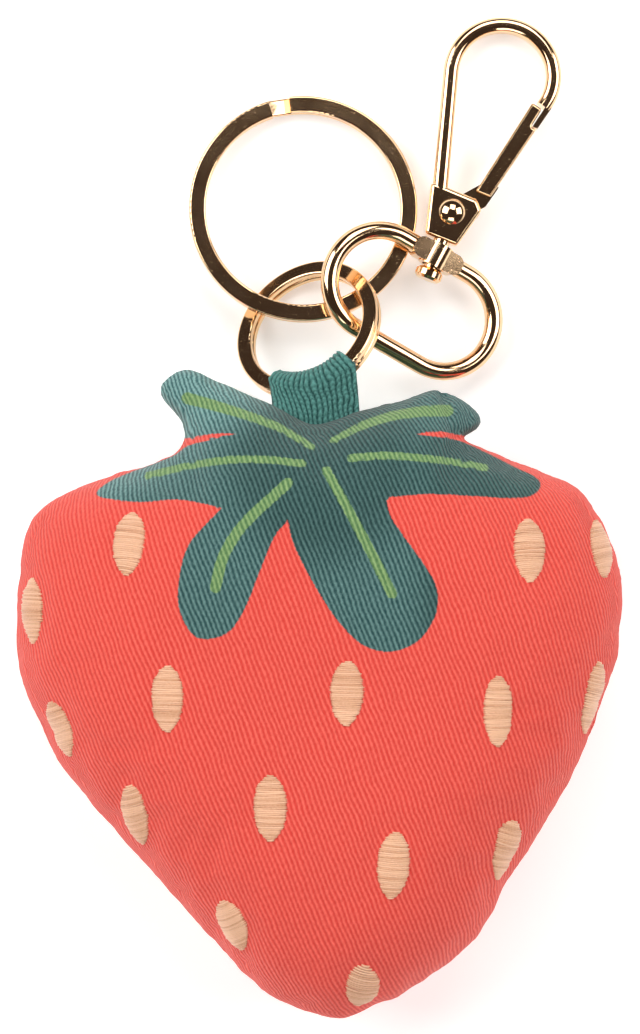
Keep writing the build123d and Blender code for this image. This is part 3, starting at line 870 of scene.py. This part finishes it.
def shaped_panel(side, vertices, faces, rises, name, node):
    """One fabric panel: stuffed cloth, tucked in at the seam, puckered, and a real thickness thick."""
    count = len(flat_outline)
    tuck = np.column_stack([
        flat_outline + pattern[1] * TUCK_DEPTH, np.full(count, SEAM + side * TUCK_GAP)
    ])
    level = vertices.copy()
    level[:count, 2] = SEAM + side * SEAM_GAP
    points = np.vstack([tuck, level])
    all_faces = [[k + count for k in face] for face in faces]
    for m in range(count):
        after = (m + 1) % count
        all_faces.append([m, after, count + after, count + m][::side])
    made = new_object(name, points * MM, all_faces)
    mesh = made.data
    set_attribute(mesh, "rise", np.concatenate([np.zeros(count), rises]))
    set_attribute(mesh, "flat_x", np.concatenate([tuck[:, 0], vertices_flat[side][:, 0]]))
    set_attribute(mesh, "flat_y", np.concatenate([tuck[:, 1], vertices_flat[side][:, 1]]))
    set_attribute(mesh, "tucked", np.concatenate([np.ones(count), np.zeros(len(rises))]))
    finer = made.modifiers.new("finer", "SUBSURF")
    finer.levels = 1
    finer.render_levels = 1
    bake_modifiers(made)
    mesh = made.data
    here = places(mesh) / MM
    facing = normals(mesh)
    rise = get_attribute(mesh, "rise")
    flat = np.column_stack([get_attribute(mesh, "flat_x"), get_attribute(mesh, "flat_y")])
    shown = 1 - get_attribute(mesh, "tucked")
    here = here + facing * (wrinkles(side, here, flat, rise) * shown)[:, None]
    here[:, 2] = np.maximum(here[:, 2], 0.0) if side < 0 else here[:, 2]
    set_places(mesh, here * MM)
    cloth = flat + unit_rows(flat - MIDDLE, 1e-6) * unrolled_shift(rise)[:, None]
    set_attribute(mesh, "cloth_x", cloth[:, 0])
    set_attribute(mesh, "cloth_y", cloth[:, 1])
    # The crown's painted light and shade, stored for the twill's colour.
    set_attribute(mesh, "painted_light", painted_crown_light(here))
    set_attribute(mesh, "leaf_depth", leaf_depth(here[:, :2]))
    set_attribute(mesh, "vein_depth", vein_depth(here[:, :2]))
    for spare in ("rise", "flat_x", "flat_y", "tucked"):
        mesh.attributes.remove(mesh.attributes[spare])
    surfaces[side] = tree_of(here, mesh)
    thick = made.modifiers.new("cloth thickness", "SOLIDIFY")
    thick.thickness = FABRIC * MM
    thick.offset = -1
    bake_modifiers(made)
    made.data.materials.append(twill)
    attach(made, "strawberry")
    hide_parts(node)


def wrinkles(side, here, flat, rise):
    """Millimetres that each point stands out of the stuffed shape."""
    best = np.full(len(flat), 1e9)
    station = np.zeros(len(flat))
    for k, point in enumerate(flat_outline):
        away = np.linalg.norm(flat - point, axis=1)
        station = np.where(away < best, k * OUTLINE_SPACING, station)
        best = np.minimum(best, away)
    climb = np.abs(here[:, 2] - SEAM) + best
    pucker = np.array([noise.noise(Vector((s / PUCKER_LENGTH, side * 7.3, 0.4))) for s in station])
    pucker += SHORT_PUCKER * np.array([
        noise.noise(Vector((s / SHORT_PUCKER_LENGTH, side * 3.1, 5.4))) for s in station
    ])
    height = PUCKER_HEIGHT * pucker * np.exp(-climb / PUCKER_REACH) * smooth_step(climb, 0.1, 1.4)
    height += LUMP_HEIGHT * wave(here, LUMP_SIZE, 3.0 + side) * smooth_step(rise, 0.02, 0.3)
    height += CRUMPLE_HEIGHT * wave(here, CRUMPLE_SIZE, 9.0 + side) * smooth_step(rise, 0.01, 0.15)
    for _, centre, along, half_length, half_width in seeds[side]:
        offset = here[:, :2] - centre
        across = np.array([along[1], -along[0]])
        around = np.hypot(offset @ along / (half_length + 0.5), offset @ across / (half_width + 0.7))
        height -= SEED_DIMPLE * (1 - smooth_step(around, 0.85, 1.75))
    crease = (here[:, 0] - CREASE_PLACE[0]) * math.sin(CREASE_TURN)
    crease = crease + (here[:, 1] - CREASE_PLACE[1]) * math.cos(CREASE_TURN)
    tip = smooth_step(here[:, 0], 13.0, 14.5) * smooth_step(here[:, 1], 9.6, 10.6)
    height -= CREASE_DEPTH * np.exp(-(crease / CREASE_WIDTH) ** 2) * tip * smooth_step(climb, 0.3, 1.8)
    return height


# ------------------------------------------------------------------ embroidered seeds
THREAD_PITCH = 0.235
THREAD_RADIUS = 0.145
STITCH_HEIGHT = 0.62
STITCH_STEPS = 11
THREAD_SIDES = 6
THREAD_SUNK = 0.16
SEED_PLUMPNESS = 2.2
BLUNT_END = 0.78
STITCH_REACH = 1.04
STITCH_ENDS = 0.10
PAD_AT_ENDS = 0.45
# A seed on the steep rim is laid on a plane that faces at least this much up or down, and kept this narrow.
STEEPEST_SEED = 0.3
WIDEST_SEED = 5.2


def fabric_point(side, point, facing):
    """The point and outward direction of the fabric that a place looks down on against facing."""
    found, direction, _, _ = surfaces[side].ray_cast(point + facing * 9, -facing, 20)
    if found is None:
        found, direction, _, _ = surfaces[side].find_nearest(point)
    if direction.dot(facing) < 0:
        direction = -direction
    return found, direction


def seed_plane(side, centre, along, reach):
    """A plane laid on the fabric at a seed: its middle, outward direction and the seed's two directions."""
    across = np.array([along[1], -along[0]])
    hits, total = [], Vector((0, 0, 0))
    for forward in np.linspace(-0.8, 0.8, 5):
        for aside in (-0.5, 0, 0.5):
            spot = centre + along * forward * reach[0] + across * aside * reach[1]
            found, direction, _, _ = surfaces[side].ray_cast(
                Vector((*spot, SEAM + side * 60)), Vector((0, 0, -side))
            )
            if found is not None:
                total += direction if direction.z * side > 0 else -direction
                hits.append((np.hypot(forward, aside), found))
    facing = total.normalized()
    if facing.z * side < STEEPEST_SEED:
        level = Vector((facing.x, facing.y, 0)).normalized() * math.sqrt(1 - STEEPEST_SEED ** 2)
        facing = level + Vector((0, 0, side * STEEPEST_SEED))
    middle = min(hits, key=lambda hit: hit[0])[1]
    lifted = [
        Vector((d[0], d[1], -(d[0] * facing.x + d[1] * facing.y) / facing.z)) for d in (along, across)
    ]
    offset = centre - np.array(middle[:2])
    middle = middle + lifted[0] * float(offset @ along) + lifted[1] * float(offset @ across)
    return middle, facing, lifted[0], lifted[1]


def tube(path, radius, sides):
    """Vertices and faces of a thread along a path, closed by a point at each end."""
    vertices, faces = [path[0]], []
    side_on = (path[2] - path[0]).orthogonal()
    for k in range(1, len(path) - 1):
        along = (path[k + 1] - path[k - 1]).normalized()
        side_on = (side_on - along * side_on.dot(along)).normalized()
        other = along.cross(side_on)
        for m in range(sides):
            turn = 2 * math.pi * m / sides
            vertices.append(path[k] + radius * (math.cos(turn) * side_on + math.sin(turn) * other))
    vertices.append(path[-1])
    rings = len(path) - 2
    for m in range(sides):
        after = (m + 1) % sides
        faces.append([0, 1 + after, 1 + m])
        for k in range(rings - 1):
            low, high = 1 + k * sides, 1 + (k + 1) * sides
            faces.append([low + m, low + after, high + after, high + m])
        last = 1 + (rings - 1) * sides
        faces.append([last + m, last + after, len(vertices) - 1])
    return vertices, faces


def stitched_seed(side, seed, number):
    """Satin stitches laid side by side across one seed, over a raised pad."""
    name, centre, along, half_length, half_width = seed
    middle, facing, lengthways, sideways = seed_plane(side, centre, along, (half_length, half_width))
    sideways *= min(1.0, WIDEST_SEED / 2 / (half_width * sideways.length))
    luck = np.random.default_rng(100 + number)
    vertices, faces, tones = [], [], []
    count = int(2 * half_length / THREAD_PITCH)
    for k in range(count):
        share = 2 * (k + 0.5) / count - 1
        blunt = BLUNT_END if share > 0 else 1.0
        reach = half_width * max(0.0, 1 - abs(share) ** (SEED_PLUMPNESS / blunt)) ** 0.72
        left = -reach * STITCH_REACH - STITCH_ENDS + luck.uniform(-0.12, 0.08)
        right = reach * STITCH_REACH + STITCH_ENDS + luck.uniform(-0.08, 0.12)
        lean = luck.uniform(-0.05, 0.05)
        path = []
        for step in range(STITCH_STEPS):
            part = step / (STITCH_STEPS - 1)
            aside = left + (right - left) * part
            forward = share * half_length + lean * (2 * part - 1)
            found, outwards = fabric_point(side, middle + lengthways * forward + sideways * aside, facing)
            outwards = (outwards + facing * 1.5).normalized()
            arch = max(0.0, 1 - (2 * part - 1) ** 2) ** 0.68
            pad = STITCH_HEIGHT * (PAD_AT_ENDS + (1 - PAD_AT_ENDS) * (1 - share * share))
            path.append(found + outwards * (pad * arch - THREAD_SUNK + luck.uniform(-0.02, 0.02)))
        more, sides_of_it = tube(path, THREAD_RADIUS * luck.uniform(0.94, 1.06), THREAD_SIDES)
        faces += [[len(vertices) + v for v in face] for face in sides_of_it]
        vertices += more
        tones += [luck.uniform(0.3, 1.0)] * len(more)
    made = new_object(name.replace("seed", "stitches"), np.array(vertices) * MM, faces)
    set_attribute(made.data, "strand", tones)
    made.data.materials.append(thread)
    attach(made, "strawberry")
    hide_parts(name)


# ------------------------------------------------------------------ stuffing
def stuffing_fill(vertices, faces):
    """Lumpy fibre that fills the panels."""
    fibre = new_object("fibre_fill", vertices * MM, faces)
    here = places(fibre.data) / MM
    inset = FILL_INSET + FILL_LUMPS * wave(here, 6, 21.0)
    inner = here - normals(fibre.data) * inset[:, None]
    set_places(fibre.data, slimmed(inner, SLIM_MARGIN + FILL_INSET) * MM)
    fibre.data.materials.append(fill)
    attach(fibre, "strawberry")
    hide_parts("stuffing")


# ------------------------------------------------------------------ hanging loop
# The tape is widest round the wire, where it also sits a little to one side of the joint.
TAPE_WIDTH = 11.9
TAPE_FOOT = 11.2
TAPE_SHIFT = 0.85
TAPE_WALL = 0.75
TAPE_RIBS = 17
RIB_SAMPLES = 6
RIB_DEPTH = 0.14
STITCH_PITCH = 0.7
STITCH_DEPTH = 0.17
RIB_SWAY = 0.45
STITCH_SWAY = 0.5
SWAY_SIZE = 1.6
TAPE_STEP = 0.13
WIRE_ROOM = 1.45
TAPE_BASE = (-0.5, 12.2)
TAPE_TUCK = 2.2


def tape_rows():
    """The tape's middle surface: a line of points round the ring's wire for each place across it."""
    swing = joint("small_ring_swing")
    eye = Vector(swing["pos_m"]) / MM
    axis = Vector(swing["axis"]).normalized()
    low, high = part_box("small_split_ring")
    ring_middle = (low + high) / 2 / MM
    outwards = eye - ring_middle
    outwards -= axis * outwards.dot(axis)
    wire_radius = outwards.length
    outwards.normalize()
    rows = []
    for share in np.linspace(-1, 1, TAPE_RIBS * RIB_SAMPLES + 1):
        turn = (share * TAPE_WIDTH / 2 + TAPE_SHIFT) / wire_radius
        middle = ring_middle + wire_radius * (math.cos(turn) * outwards + math.sin(turn) * axis)
        along_wire = math.cos(turn) * axis - math.sin(turn) * outwards
        radius = WIRE_ROOM + TAPE_WALL / 2
        foot = Vector((TAPE_BASE[0] + share * TAPE_FOOT / 2, TAPE_BASE[1] + 1.8 * abs(share) ** 1.5, SEAM))
        down = foot - middle
        down -= along_wire * down.dot(along_wire)
        far = down.length
        down.normalize()
        up = along_wire.cross(down)
        up = up if up.z > 0 else -up
        touch = math.acos(min(0.98, radius / far))
        around = [
            middle + radius * (math.cos(t) * down + math.sin(t) * up)
            for t in np.linspace(touch, 2 * math.pi - touch, 40)
        ]
        end = foot + Vector((0, -TAPE_TUCK, 0))
        gap = Vector((0, 0, TAPE_WALL * 0.62))
        rows.append(catmull_rom([end + gap, foot + gap, *around, foot - gap, end - gap], step=0.2))
    return rows


def hanging_tape():
    """Rib-knit tape folded over the small ring, its two ends sewn between the panels."""
    rows = tape_rows()
    lengths = [np.concatenate([[0], np.cumsum(np.linalg.norm(np.diff(r, axis=0), axis=1))]) for r in rows]
    steps = int(max(reached[-1] for reached in lengths) / TAPE_STEP)
    sheet = np.array([
        np.column_stack([
            np.interp(np.linspace(0, reached[-1], steps), reached, row[:, k]) for k in range(3)
        ])
        for row, reached in zip(rows, lengths)
    ])
    down = np.gradient(sheet, axis=1)
    across = np.gradient(sheet, axis=0)
    out = np.cross(across, down)
    out /= np.linalg.norm(out, axis=2)[:, :, None]
    mid_row = len(rows) // 2
    eye = np.array(joint("small_ring_swing")["pos_m"]) / MM
    if (out[mid_row, steps // 2] @ (sheet[mid_row, steps // 2] - eye)) < 0:
        out = -out
    place = np.linspace(0, TAPE_RIBS, len(rows))[:, None]
    mean_length = float(np.mean([reached[-1] for reached in lengths]))
    station = np.linspace(0, mean_length, steps)[None, :]
    sway = wave(sheet.reshape(-1, 3), SWAY_SIZE, 31.0).reshape(sheet.shape[:2])
    place = place + RIB_SWAY * sway
    station = station + STITCH_SWAY * np.roll(sway, 7, axis=0)
    rib = np.abs(np.sin(math.pi * place)) ** 0.7
    slant = np.abs((place % 1) - 0.5) * 1.1
    loops = 0.5 + 0.5 * np.cos(2 * math.pi * (station / STITCH_PITCH + slant))
    # Painted shade for the colour: darker between the ribs and between the stitch loops, following the
    # relief.
    knit_shade = rib * (0.62 + 0.38 * loops)
    rise = RIB_DEPTH * rib + STITCH_DEPTH * (rib * loops)
    edge = np.minimum(np.arange(len(rows)), np.arange(len(rows))[::-1])[:, None] / RIB_SAMPLES
    rounded = np.sqrt(np.clip(1 - (1 - np.clip(edge * 2.2, 0, 1)) ** 2, 0.02, 1))
    outer = sheet + out * ((TAPE_WALL / 2 * rounded + (rise - RIB_DEPTH * 0.6))[:, :, None])
    inner = sheet - out * ((TAPE_WALL / 2 * rounded - 0.1)[:, :, None])
    wide, long = sheet.shape[:2]
    vertices = np.vstack([outer.reshape(-1, 3), inner.reshape(-1, 3)])
    faces = []
    under = wide * long
    for i in range(wide - 1):
        for j in range(long - 1):
            a, b, c, d = i * long + j, (i + 1) * long + j, (i + 1) * long + j + 1, i * long + j + 1
            faces.append([a, d, c, b])
            faces.append([under + a, under + b, under + c, under + d])
    rim = [(0, j) for j in range(long)] + [(i, long - 1) for i in range(1, wide)]
    rim += [(wide - 1, j) for j in range(long - 2, -1, -1)] + [(i, 0) for i in range(wide - 2, 0, -1)]
    rim = [i * long + j for i, j in rim]
    for a, b in zip(rim, rim[1:] + rim[:1]):
        faces.append([a, under + a, under + b, b])
    tape_loop = new_object("knitted_loop", vertices * MM, faces)
    repair = bmesh.new()
    repair.from_mesh(tape_loop.data)
    bmesh.ops.recalc_face_normals(repair, faces=repair.faces)
    repair.to_mesh(tape_loop.data)
    # The inner face gets a darker copy of it, painted shade on the side that faces the wire.
    set_attribute(tape_loop.data, "knit_shade", np.concatenate([knit_shade.ravel(), knit_shade.ravel() * 0.6]))
    tape_loop.data.materials.append(tape)
    eye = Vector(joint("small_ring_swing")["pos_m"])
    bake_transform(tape_loop)
    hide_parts("hanging_loop")


# ------------------------------------------------------------------ building the soft pieces
pattern = flat_pattern()
flat_outline = pattern[0]
surfaces = {}
seeds = {1: seed_frames("seed_front"), -1: seed_frames("seed_back")}
sides = [pillow_side(pattern, 1), pillow_side(pattern, -1)]
vertices_flat = {1: sides[0][0][:, :2], -1: sides[1][0][:, :2]}
form_vertices, form_faces = closed_form(sides)
swelled_vertices = stuffed(form_vertices, form_faces)
form_vertices = slimmed(swelled_vertices, SLIM_MARGIN)
seam_count = len(flat_outline)
front_count = len(sides[0][0])
back_vertices = np.vstack([form_vertices[:seam_count], form_vertices[front_count:]])
shaped_panel(1, form_vertices[:front_count], *sides[0][1:], "front_cover", "front_panel")
shaped_panel(-1, back_vertices, *sides[1][1:], "back_cover", "back_panel")
for side in (1, -1):
    for number, seed in enumerate(seeds[side]):
        stitched_seed(side, seed, number + 50 * (side < 0))
stuffing_fill(swelled_vertices, form_faces)
hanging_tape()

# ------------------------------------------------------------------ metal
METAL_NODES = (
    "small_split_ring", "large_split_ring", "clasp_bow", "hook_body",
    "swivel_post", "gate_rivet", "gate_spring", "gate",
)


def dress_metal():
    """Gold plate on the hardware and bare steel on the spring, on the frame's own shapes."""
    for name in METAL_NODES:
        node = frame["nodes"][name]
        node.data.materials.clear()
        node.data.materials.append(spring_steel if name == "gate_spring" else gold)
        node.data.polygons.foreach_set("use_smooth", [True] * len(node.data.polygons))


dress_metal()
